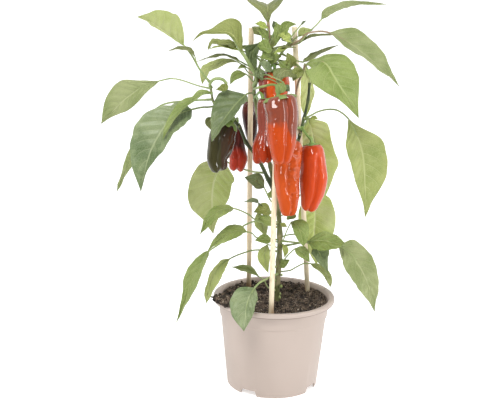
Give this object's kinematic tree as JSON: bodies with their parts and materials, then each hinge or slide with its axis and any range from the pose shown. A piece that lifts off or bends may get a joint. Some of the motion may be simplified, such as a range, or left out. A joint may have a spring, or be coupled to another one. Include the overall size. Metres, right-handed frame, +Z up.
{
  "type": "potted sweet pepper plant",
  "caption": "Young sweet pepper plant with ripening fruit, held by bamboo canes and rooted in the soil of a round plastic nursery pot.",
  "frame": {"origin": "centre of the flat round dish under the pot, on the surface that the pot stands on", "axes": "+Z up along the pot's axis and the plant's height; the side that the picture shows faces -Y; +X is to its right"},
  "size_m": [0.3289, 0.1654, 0.442],
  "materials": {
    "pot_plastic": "matte",
    "soil": "matte",
    "bamboo": "satin",
    "stem": "satin",
    "leaf": "satin",
    "leaf_pale": "satin",
    "leaf_dark": "satin",
    "pepper_ripe": "gloss",
    "pepper_ripening": "gloss",
    "pepper_turning": "gloss",
    "pepper_dark": "gloss",
    "pepper_unripe": "gloss",
    "fruit_stalk": "satin"
  },
  "bodies": {
    "root": {"pot": "pot_plastic", "soil": "soil", "cane_left": "bamboo", "cane_right": "bamboo", "cane_front": "bamboo", "stem": "stem", "pepper_front": "pepper_ripening", "pepper_long": "pepper_ripe", "pepper_right": "pepper_ripe", "pepper_high": "pepper_ripe", "pepper_green": "pepper_unripe", "pepper_shaded": "pepper_turning", "pepper_waisted": "pepper_turning", "pepper_maroon": "pepper_dark", "cup_front": "fruit_stalk", "cup_long": "fruit_stalk", "cup_right": "fruit_stalk", "cup_high": "fruit_stalk", "cup_green": "fruit_stalk", "cup_shaded": "fruit_stalk", "cup_waisted": "fruit_stalk", "cup_maroon": "fruit_stalk", "leaf_high_left": "leaf_pale", "leaf_high_left_slim": "leaf", "leaf_far_left": "leaf_pale", "leaf_left_broad": "leaf_dark", "leaf_left_folded": "leaf", "leaf_left_behind": "leaf_pale", "leaf_left_pale": "leaf_pale", "leaf_mid_left": "leaf_dark", "leaf_low_left": "leaf", "leaf_low_left_long": "leaf", "leaf_low_left_narrow": "leaf", "leaf_over_rim": "leaf", "leaf_high_right": "leaf", "leaf_right_arched": "leaf", "leaf_right_front": "leaf", "leaf_right_slim": "leaf", "leaf_right_long": "leaf_pale", "leaf_behind_fruit": "leaf_pale", "leaf_right_pale": "leaf_pale", "leaf_low_right_long": "leaf", "leaf_low_right_short": "leaf", "leaf_low_right_dark": "leaf_dark", "leaf_low_right_small": "leaf", "leaf_under_fruit": "leaf", "leaf_behind_right_cane": "leaf_pale", "leaf_top_left": "leaf", "leaf_top_left_lower": "leaf", "leaf_top_dark": "leaf_dark", "leaf_top_slim": "leaf", "leaf_top_pale": "leaf_pale", "leaf_over_green_fruit": "leaf_dark", "leaf_crown": "leaf", "leaf_draped": "leaf"}
  },
  "joints": []
}
